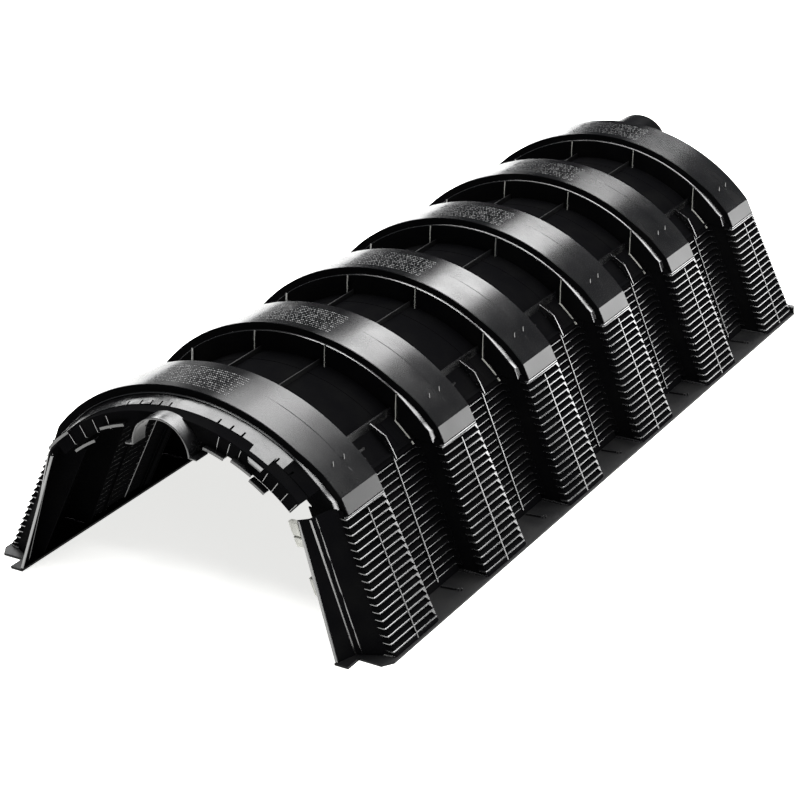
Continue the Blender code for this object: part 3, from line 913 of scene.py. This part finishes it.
class CHAMBER_OT_valley_louvres(bpy.types.Operator):
    """Build the louvred walls between the crests' legs"""

    bl_idname = "chamber.valley_louvres"
    bl_label = "Valley louvres"

    def execute(self, context):
        form = Form(context.scene.chamber_shell)
        sizes = context.scene.chamber_louvre
        for number in range(1, CRESTS):
            for side_name, side in SIDES:
                self.wall(form, sizes, number, side_name, side)
        return {"FINISHED"}

    def wall(self, form, sizes, number, side_name, side):
        """One wall: its plain bands, its slats and the ribs that carry them."""
        depth = form.shell.valley_depth
        y = form.crest(number)
        # The plain bands, wedges and ribs are in the black without reflection: painted shade.
        body = Body(f"valley_grille_{side_name}_{number}", painted_shade(), gloss())

        def start(z):
            return y + form.rear(z)

        def end(z):
            return y + form.pitch + form.front(z)

        for z_top, z_foot in ((form.pad_z - 0.0006, 0.2250), (0.0176, form.flange_z)):
            leg_plate(body, side, form, depth, depth + form.shell.wall, z_top, z_foot, start, end)
        top = sizes.valley_top
        run = end(top) - start(top) - 0.002
        path = (
            (0.0, 0.0, -form.stretch, 0.0),
            (0.0, run - 0.0050, -form.stretch, 0.0),
            (0.0012, run - 0.0012, -0.70, 0.30),
            (0.0048, run, 0.0, 0.35),
            (0.0120, run, 0.0, 0.30),
        )
        bead, wedge = slat(side, form, sizes, sizes.valley_edge, path)
        for look, shape in ((1, bead), (0, wedge)):
            column(
                body, look, side, form, sizes, [shape], sizes.valley_count, top, depth,
                start, lambda z: end(z) - start(z) - 0.002,
            )
        upright(
            body, side, form, depth, 0.2330, 0.0145, y + GUSSET_Y, y + 0.2185, sizes.rib / 2, -0.0028, 0.0145
        )
        for share in (0.22, 0.86):
            y_top = start(top) + share * (end(top) - start(top))
            y_foot = start(0.01) + share * (end(0.01) - start(0.01))
            upright(body, side, form, depth, 0.2250, 0.014, y_top, y_foot, 0.0011, 0.0085, 0.0165, 0)
        half = 0.0070
        near_top, near_foot = end(0.2250) - half - 0.0005, end(0.014) - half - 0.0005
        upright(body, side, form, depth, 0.2250, 0.014, near_top, near_foot, half, 0.0135, 0.0165, 0)
        body.finish(f"valley_louvre_{side_name}_{number}", crease=25.0)


# ---------------------------------------------------------------- base flanges

class CHAMBER_OT_flanges(bpy.types.Operator):
    """Build the two base flanges with their small ribs, posts and rear tooth"""

    bl_idname = "chamber.flanges"
    bl_label = "Base flanges"

    def execute(self, context):
        form = Form(context.scene.chamber_shell)
        for side_name, side in SIDES:
            self.flange(form, side_name, side)
        return {"FINISHED"}

    def flange(self, form, side_name, side):
        """One flange, with eased edges and an upright tooth at its rear end."""
        low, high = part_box(f"base_flange_{side_name}")
        inner, outer = sorted((abs(low.x), abs(high.x)))
        front = form.crest_y - 0.057
        lip = 0.0047
        foot_plate, lip_inner = 0.372, 0.405
        body = Body(f"flange_{side_name}", dusty(), gloss())
        plan = [
            (inner, low.y), (foot_plate, low.y), (foot_plate, front), (outer - 0.014, front),
            (outer, front + 0.020), (outer, high.y), (lip_inner, high.y), (lip_inner, high.y - lip),
            (inner, high.y - lip),
        ]
        thick, edge, inset = 0.0048, 0.0006, 0.0005
        centre = Vector(((inner + outer) / 2, (low.y + high.y) / 2))
        rings = []
        for z, draw in ((0.0, inset), (edge, 0.0), (thick - edge, 0.0), (thick, inset)):
            rings.append([
                (side * (x + copysign(draw, centre.x - x)), y + copysign(draw, centre.y - y), z)
                for x, y in plan
            ])
        body.loft(rings)
        tooth = [(high.y - lip, 0.002), (high.y, 0.002), (high.y, 0.022)]
        tooth += [(high.y - 0.0016, 0.023), (high.y - lip, 0.019)]
        body.loft([[(side * x, y, z) for y, z in tooth] for x in (lip_inner, outer - 0.0003)], 1)
        for number in range(1, CRESTS):
            self.valley_marks(body, side, form.crest(number), thick)
        body.finish(f"base_flange_{side_name}")

    def valley_marks(self, body, side, y, top):
        """A low rib from the valley wall's foot towards the edge, and two small posts at its end."""
        start, end = Vector((0.3700, y + 0.2190)), Vector((0.4010, y + 0.2235))
        across = (end - start).orthogonal().normalized() * 0.0009
        ring = [start - across, end - across, end + across, start + across]
        body.loft([[(side * p.x, p.y, z) for p in ring] for z in (top - 0.001, top + 0.0035)], 1)
        for x, shift in ((0.4045, 0.2230), (0.4095, 0.2265)):
            body.post(side * x, y + shift, top, ((-0.001, 0.0017), (0.004, 0.0014), (0.0055, 0.0008)))


# ---------------------------------------------------------------- front joint

class CHAMBER_OT_front_joint(bpy.types.Operator):
    """Build the front ledge and end wall, the pipe rim, the snap shelves and the joint legs"""

    bl_idname = "chamber.front_joint"
    bl_label = "Front joint"

    def execute(self, context):
        form = Form(context.scene.chamber_shell)
        joint = context.scene.chamber_joint
        self.ledge(form, joint)
        self.rim(form, joint)
        for side_name, side in SIDES:
            self.leg(form, side_name, side)
            self.shelves(form, side_name)
        self.block("latch_hook", "front_latch_hook", True)
        self.block("lock_lug", "front_lock_lug", False)
        return {"FINISHED"}

    def ledge(self, form, joint):
        """The ledge, the apron that curves down from it and the end wall, notched for the pipe."""
        y = form.crest_y
        wall = form.shell.wall
        body = Body("joint_ledge", painted_shade(), polished(), gloss())
        top, edge = joint.ledge_depth, joint.ledge_depth + joint.ledge_fall
        reach, front = joint.ledge_reach, joint.wall_reach
        notch = asin((joint.pipe_radius + 0.001) / (form.rise - 0.035))
        slits = [radians(turn) for turn in self.SLITS]

        def cut(angle):
            """The section: the end wall stops at the pipe rim, and the ledge's edge is slit in places."""
            low = joint.wall_depth
            if abs(angle) < notch:
                across = form.rise * sin(angle) * 0.93
                crown = joint.pipe_centre_z + sqrt(max(0.0, joint.pipe_radius ** 2 - across ** 2))
                low = form.rise - crown / cos(angle)
            back = reach
            if any(abs(angle - slit) < radians(self.SLIT_HALF + 0.01) for slit in slits):
                back -= self.SLIT_LENGTH
            outline = (
                (0.0, top), (-back, top + (edge - top) * back / reach), (-back - 0.0004, edge + 0.0014),
                (-front + 0.0008, edge + 0.0022), (-front, edge + 0.0034), (-front, joint.wall_depth),
                (wall - front, joint.wall_depth), (wall - front, edge + 0.0052),
                (-reach, edge + 0.0042), (0.0, top + wall),
            )
            low = max(low, edge + 0.0056)
            return [(y + a, min(d, low)) for a, d in outline]

        stations = self.slit_arc(form, joint, slits)

        def looks(step, edge):
            """Polished on top of the ledge, up to where its smooth part stops; elsewhere painted shade, a
            black without reflection.
            """
            return 1 if edge == 0 and stations[step][0] < SMOOTH_END else 0

        body.sweep(stations, cut, 0, looks)
        self.shelf(body, form, joint)
        self.ledge_fins(body, form, joint)
        body.finish("front_joint_ledge")

    SLITS = (-17.2, -12.6, -9.1, -5.9, -2.8, 12.9, 16.9, 20.6, 31.9, 36.9)
    SLIT_HALF, SLIT_LENGTH = 0.25, 0.010

    def slit_arc(self, form, joint, slits):
        """The ledge's stations, with a pair at each side of every slit."""
        turns = {joint.ledge_half * step / 36 for step in range(-36, 37)}
        for slit in slits:
            turns = {turn for turn in turns if abs(turn - slit) > radians(0.35)}
            for half in (self.SLIT_HALF, self.SLIT_HALF + 0.07):
                turns |= {slit - radians(half), slit + radians(half)}
        return [station for turn in sorted(turns) for station in form.arc(turn, turn, 1)[:1]]

    def shelf(self, body, form, joint):
        """The part of the ledge that reaches forward at the right shoulder, with a round bite."""
        y = form.crest_y

        def section(angle):
            turn = degrees(angle)
            share = max(0.0, min(1.0, (27.6 - turn) / 2.9))
            front = y - 0.0585 + 0.036 * (1 - sqrt(1 - share ** 2))
            top, slope = joint.ledge_depth + 0.0030, joint.ledge_fall / joint.ledge_reach
            fall = top + slope * (y - 0.020 - front)
            return [(y - 0.020, top), (front, fall), (front, fall + 0.003), (y - 0.020, top + 0.003)]

        body.sweep(form.arc(radians(24.7), radians(31.4), 14), section, 1)

    def ledge_fins(self, body, form, joint):
        """Thin upright ribs on the end wall, turned round the arch."""
        y = form.crest_y
        radius = form.rise - joint.ledge_depth - joint.ledge_fall
        front = -joint.wall_reach
        side = [
            (front + 0.001, -0.0038), (front - 0.0014, -0.0060),
            (front - 0.0022, -0.0300), (front + 0.001, -0.0320),
        ]
        shape = [[[(x, a, b) for a, b in side] for x in (-0.0006, 0.0006)]]
        for start, turn, count in ((-38.0, 5.4, 4), (16.5, 3.6, 3), (33.0, 3.7, 4)):
            body.add(
                repeated(
                    arc_tree(), shape, gloss(), count=count, per_row=count, radius=radius, seed=1, y=y,
                    start=radians(start), turn=radians(turn), row_step=0.0, variation=0.0,
                ),
                2,
            )

    def rim(self, form, joint):
        """The half-round rim that guides the pipe, with a foot turned out at each end."""
        body = Body("pipe_rim", polished())
        front = form.crest_y - joint.pipe_reach
        back = form.crest_y - joint.wall_reach + 0.004
        outer, inner, centre = joint.pipe_radius, joint.pipe_radius - 0.0036, joint.pipe_centre_z
        path = [(-outer - 0.014, centre - 0.0022, 0.0, 1.0), (-outer - 0.003, centre - 0.0016, 0.0, 1.0)]
        for step in range(33):
            angle = pi * (1 - step / 32)
            nx, nz = cos(angle), sin(angle)
            path.append((inner * nx, centre + inner * nz, nx, nz))
        path += [(-x, z, -nx, nz) for x, z, nx, nz in reversed(path[:2])]
        thick, edge = outer - inner, 0.0009
        profile = [
            (front, edge), (front + edge, 0.0), (back, 0.0),
            (back, thick), (front + edge, thick), (front, thick - edge),
        ]
        body.loft([[(x + nx * d, y, z + nz * d) for y, d in profile] for x, z, nx, nz in path])
        body.finish("front_pipe_arch", crease=30.0)

    def shelves(self, form, side_name):
        """Short shelves on the end wall, one piece for each CAD shelf."""
        for number in (1, 2, 3):
            node = f"front_lip_{side_name}_{number}"
            low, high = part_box(node)
            angles = sorted(atan2(x, z) for x in (low.x, high.x) for z in (low.z, high.z))
            radius = hypot(max(abs(low.x), abs(high.x)), low.z)
            depth = form.rise - radius - 0.0012
            front, back = low.y, high.y + 0.002
            section = [
                (front, depth + 0.0004), (front + 0.0006, depth), (back, depth), (back, depth + 0.0026),
                (front + 0.0022, depth + 0.0026), (front + 0.0018, depth + 0.0052), (front, depth + 0.0052),
            ]
            body = Body(f"snap_shelf_{side_name}_{number}", polished())
            body.sweep(form.arc(angles[0], angles[-1], 6), lambda angle: section)
            body.finish(node)

    def leg(self, form, side_name, side):
        """The wall from the first leg to a ridge, tapering on to the front edge, with its four beads."""
        low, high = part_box(f"front_joint_leg_{side_name}")
        y = form.crest_y
        wall = form.shell.wall
        # The wall is in the black without reflection: painted shade. Its beads are glossy.
        body = Body(f"joint_leg_{side_name}", painted_shade(), gloss())

        def plan(z):
            """The wall's corners at a height: at the first leg, at the ridge and at the front edge."""
            start_x, start_y = form.leg(z, 0.0125), y + form.front(z) + 0.002
            ridge_x, ridge_y = 0.364 - 0.332 * z, y - 0.050
            edge_x, edge_y = EDGE_X - EDGE_SLOPE * z, CAD_LOW.y + 0.0025 + 0.107 * z
            return (start_x, start_y), (ridge_x, ridge_y), (edge_x, edge_y)

        heights = [low.z - 0.0002, 0.06, 0.12, 0.18, 0.235, high.z]
        rings = []
        for z in heights:
            (ax, ay), (bx, by), (cx, cy) = plan(z)
            ring = [(ax, ay), (bx, by + 0.001), (bx - 0.0006, by - 0.001), (cx, cy), (cx - wall, cy)]
            ring += [(bx - wall, by + wall * 0.6), (ax - 3 * wall, ay)]
            rings.append([(side * px, py, z) for px, py in ring])
        body.loft(rings)
        rim, rib = -wall - 0.0012, -wall - 0.003
        for first, share, top, section in (
            (0, 1.0, 0.001, ((-0.001, -0.0014), (0.0016, -0.00084), (0.0016, 0.00084), (-0.001, 0.0014))),
            (0, 0.80, 0.001, ((-0.001, -0.0009), (0.0010, -0.00054), (0.0010, 0.00054), (-0.001, 0.0009))),
            (1, 1.0, 0.002, ((0.0010, -0.0006), (0.0010, 0.0012), (rim, 0.0012), (rim, -0.0006))),
            (1, 0.42, 0.002, ((-0.003, -0.00055), (-0.003, 0.0011), (rib, 0.0011), (rib, -0.00055))),
        ):
            self.bead(body, side, plan, first, share, (heights[0], heights[-1] - top), section)
        body.finish(f"front_joint_leg_{side_name}")

    def bead(self, body, side, plan, first, share, heights, section):
        """A bead down the leg, at a share of the way along one of the two walls of its plan."""
        rings = []
        for z in heights:
            start, end = Vector(plan(z)[first]), Vector(plan(z)[first + 1])
            place = start.lerp(end, share)
            rings.append([(side * (place.x + a), place.y + b, z) for a, b in section])
        body.loft(rings, 1)

    def block(self, name, node, split):
        """A chamfered block on the right joint leg, cut in two by a slot for the hook."""
        low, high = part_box(node)
        # The whole block is pale grey: a painted highlight in place of the light it catches.
        body = Body(name, painted_highlight())
        parts = ((low.z, high.z),)
        if split:
            middle = low.z + 0.42 * (high.z - low.z)
            parts = ((low.z, middle - 0.0015), (middle + 0.0015, high.z))
        width = (high.x - low.x) - EDGE_SLOPE * (high.z - low.z)
        edge, corner = 0.001, 0.002
        for z0, z1 in parts:
            rings = []
            for z, inset in ((z0, edge), (z0 + edge, 0.0), (z1 - edge, 0.0), (z1, edge)):
                root = EDGE_X - EDGE_SLOPE * z - 0.0040
                tip = root - width + inset
                rings.append([
                    (root, low.y + inset, z), (root, high.y - inset, z), (tip + corner, high.y - inset, z),
                    (tip, high.y - corner, z), (tip, low.y + corner, z), (tip + corner, low.y + inset, z),
                ])
            body.loft(rings)
        body.finish(node)


# ---------------------------------------------------------------- rear joint

class CHAMBER_OT_rear_joint(bpy.types.Operator):
    """Build the set-in rear collar and the pipe dome over it"""

    bl_idname = "chamber.rear_joint"
    bl_label = "Rear joint"

    def execute(self, context):
        form = Form(context.scene.chamber_shell)
        joint = context.scene.chamber_joint
        self.collar(form, joint)
        self.dome(form, joint)
        return {"FINISHED"}

    def collar(self, form, joint):
        """The collar's two halves, one each side of the dome."""
        low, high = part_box("rear_joint_collar")
        depth, wall = form.shell.valley_depth, form.shell.wall
        body = Body("joint_collar", satin())
        stations = form.stations()
        foot = (stations[-1][0], form.leg(low.z), low.z, -form.stretch, 0.0)
        stations = [(-foot[0], -foot[1], foot[2], -foot[3], 0.0)] + stations + [foot]
        start, end = low.y, high.y
        slot = asin((joint.dome_radius - 0.006) / form.valley_radius)

        bead, edge = start + 0.040, 0.001
        section = [
            (start, depth), (bead - 0.002, depth), (bead - 0.001, depth - 0.0018),
            (bead + 0.001, depth - 0.0018), (bead + 0.002, depth), (end - edge, depth),
            (end, depth + edge), (end, depth + wall), (start, depth + wall),
        ]
        for side in (-1, 1):
            body.sweep([s for s in stations if side * s[0] > slot], lambda angle: section)
        body.finish("rear_joint_collar")

    def dome(self, form, joint):
        """A half-round hood with a rounded nose, open underneath."""
        low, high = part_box("rear_pipe_dome")
        body = Body("pipe_dome", satin())
        radius, centre, wall = joint.dome_radius, joint.dome_centre_z, form.shell.wall
        nose = high.y - radius * 0.62

        def rings_of(size, reach):
            """Open hoops from the dome's mouth to the tip of its nose."""
            rings = []
            for y, scale in [(low.y, 1.0)] + [
                (nose + reach * sin(t), cos(t) * 0.98 + 0.02)
                for t in (pi / 2 * i / 14 for i in range(15))
            ]:
                ring = [(-size * scale, y, low.z)]
                for step in range(33):
                    angle = pi * step / 32
                    ring.append((-size * scale * cos(angle), y, centre + size * sin(angle) * scale))
                ring.append((size * scale, y, low.z))
                rings.append(ring)
            return rings

        rims = []
        for thick in (0.0, wall):
            rings = rings_of(radius - thick, high.y - nose - thick)
            rows = [[body.bm.verts.new(p) for p in ring] for ring in rings]
            for row, following in zip(rows, rows[1:]):
                for i in range(len(row) - 1):
                    body.bm.faces.new((row[i], row[i + 1], following[i + 1], following[i]))
            body.bm.faces.new(rows[-1])
            rims.append(rows[0] + [row[-1] for row in rows[1:]] + [row[0] for row in reversed(rows[1:])])
        for i, (out, within) in enumerate(zip(*rims)):
            body.bm.faces.new((rims[0][i - 1], out, within, rims[1][i - 1]))
        body.finish("rear_pipe_dome", crease=30.0)


# ---------------------------------------------------------------- stage

# Each light: name, the way it lies from the chamber, distance, width, height and brightness of its face.
LIGHTS = (
    ("rear_softbox", (-0.09, 0.77, 0.62), 8.0, 2.4, 1.6, 15.0),
    ("rear_left_card", (-0.66, 0.75, 0.06), 6.0, 3.2, 0.7, 5.0),
    ("left_softbox", (-0.76, 0.42, 0.50), 5.0, 2.0, 1.8, 8.0),
    ("overhead_softbox", (0.03, 0.31, 0.95), 5.0, 9.0, 4.2, 8.5),
    ("front_strip", (-0.10, -0.56, 0.83), 4.0, 2.4, 0.5, 14.0),
    ("right_rear_card", (0.63, 0.77, 0.12), 4.0, 1.8, 0.9, 9.0),
    ("right_card", (0.93, -0.30, 0.13), 4.0, 3.5, 0.6, 7.0),
)


class CHAMBER_OT_stage(bpy.types.Operator):
    """Lay the pale floor and set the soft lights and the camera"""

    bl_idname = "chamber.stage"
    bl_label = "Stage"

    def execute(self, context):
        self.floor(context.scene.chamber_colours)
        self.world(context.scene)
        middle = Vector((0.0, 0.0, 0.2))
        for name, direction, *sizes in LIGHTS:
            self.softbox(name, middle, Vector(direction).normalized(), *sizes)
        self.camera(context.scene)
        return {"FINISHED"}

    def floor(self, colours):
        """A large square of pale paper, lit from beneath."""
        mesh = bpy.data.meshes.new("floor")
        corners = [(14.0 * x, 14.0 * y, 0.0) for x, y in ((-1, -1), (1, -1), (1, 1), (-1, 1))]
        mesh.from_pydata(corners, [], [(0, 1, 2, 3)])
        # Matt translucent paper on a light table: a faint fibre mottle, and a glow that fills shadows.
        paper = bpy.data.materials.new("light_table_paper")
        paper.use_nodes = True
        tree = paper.node_tree
        shader = tree.nodes["Principled BSDF"]
        place = add_node(tree, "ShaderNodeTexCoord").outputs["Object"]
        fibres = add_node(
            tree, "ShaderNodeTexNoise", {"Vector": place, "Scale": 900.0, "Detail": 2.0}
        ).outputs["Fac"]
        tint = add_node(
            tree, "ShaderNodeMix",
            {"Factor": fibres, 6: list(colours.floor), 7: [c * 0.985 for c in colours.floor[:3]] + [1.0]},
            data_type="RGBA",
        )
        for socket in ("Base Color", "Emission Color"):
            tree.links.new(tint.outputs[2], shader.inputs[socket])
        shader.inputs["Emission Strength"].default_value = 0.86
        shader.inputs["Roughness"].default_value = 0.9
        shader.inputs["Specular IOR Level"].default_value = 0.1
        mesh.materials.append(paper)
        link("floor", mesh)

    def world(self, scene):
        """A dim, slightly cool surround, and a view transform that leaves colours alone."""
        world = bpy.data.worlds.new("studio")
        world.use_nodes = True
        background = world.node_tree.nodes["Background"]
        background.inputs["Color"].default_value = (0.9, 0.95, 1.0, 1.0)
        background.inputs["Strength"].default_value = 0.12
        scene.world = world
        scene.view_settings.view_transform = "Standard"

    def softbox(self, name, middle, direction, distance, width, height, brightness):
        """A rectangular light whose face has the given brightness whatever its size."""
        light = bpy.data.lights.new(name, "AREA")
        light.shape = "RECTANGLE"
        light.size, light.size_y = width, height
        light.energy = brightness * pi * width * height
        lamp = link(name, light)
        lamp.location = middle + direction * distance
        lamp.visible_camera = False
        lamp.rotation_mode = "QUATERNION"
        lamp.rotation_quaternion = (-direction).to_track_quat("-Z", "Y")

    def camera(self, scene):
        """A long lens from the front right, a little above, turned slightly about its own axis."""
        azimuth, elevation, roll = (radians(a) for a in (32.558, 24.418, -2.110))
        level = cos(elevation)
        back = Vector((sin(azimuth) * level, -cos(azimuth) * level, sin(elevation)))
        right = (-back).cross(Vector((0, 0, 1))).normalized()
        up = right.cross(-back)
        across = right * cos(roll) + up * sin(roll)
        above = up * cos(roll) - right * sin(roll)
        data = bpy.data.cameras.new("camera")
        data.lens = 98.24
        data.sensor_width = 36.0
        camera = link("camera", data)
        turn = Matrix((across, above, back)).transposed().to_4x4()
        camera.matrix_world = Matrix.Translation((2.16278, -3.56313, 1.93168)) @ turn
        scene.camera = camera


# ---------------------------------------------------------------- panel and registration

STEPS = (
    CHAMBER_OT_stage, CHAMBER_OT_crests, CHAMBER_OT_valleys, CHAMBER_OT_crest_louvres,
    CHAMBER_OT_valley_louvres, CHAMBER_OT_flanges, CHAMBER_OT_front_joint, CHAMBER_OT_rear_joint,
)


class CHAMBER_PT_panel(bpy.types.Panel):
    """Lists the chamber's sizes and building steps"""

    bl_idname = "CHAMBER_PT_panel"
    bl_label = "Leaching Chamber"
    bl_space_type = "VIEW_3D"
    bl_region_type = "UI"
    bl_category = "Chamber"

    def draw(self, context):
        for group in (context.scene.chamber_shell, context.scene.chamber_louvre, context.scene.chamber_joint):
            box = self.layout.box()
            for field in group.bl_rna.properties:
                if field.identifier not in ("name", "rna_type"):
                    box.prop(group, field.identifier)
        for step in STEPS:
            self.layout.operator(step.bl_idname)


GROUPS = (
    ("chamber_shell", ShellSizes), ("chamber_louvre", LouvreSizes),
    ("chamber_joint", JointSizes), ("chamber_colours", ChamberColours),
)


def register():
    """Adds the chamber's settings, operators and panel to Blender."""
    for name, group in GROUPS:
        bpy.utils.register_class(group)
        setattr(bpy.types.Scene, name, PointerProperty(type=group))
    for step in STEPS:
        bpy.utils.register_class(step)
    bpy.utils.register_class(CHAMBER_PT_panel)


def unregister():
    """Takes them away again."""
    bpy.utils.unregister_class(CHAMBER_PT_panel)
    for step in reversed(STEPS):
        bpy.utils.unregister_class(step)
    for name, group in reversed(GROUPS):
        delattr(bpy.types.Scene, name)
        bpy.utils.unregister_class(group)


def main():
    """Builds the scene through its operators."""
    register()
    for step in STEPS:
        group, name = step.bl_idname.split(".")
        getattr(getattr(bpy.ops, group), name)()


if __name__ == "__main__":
    main()
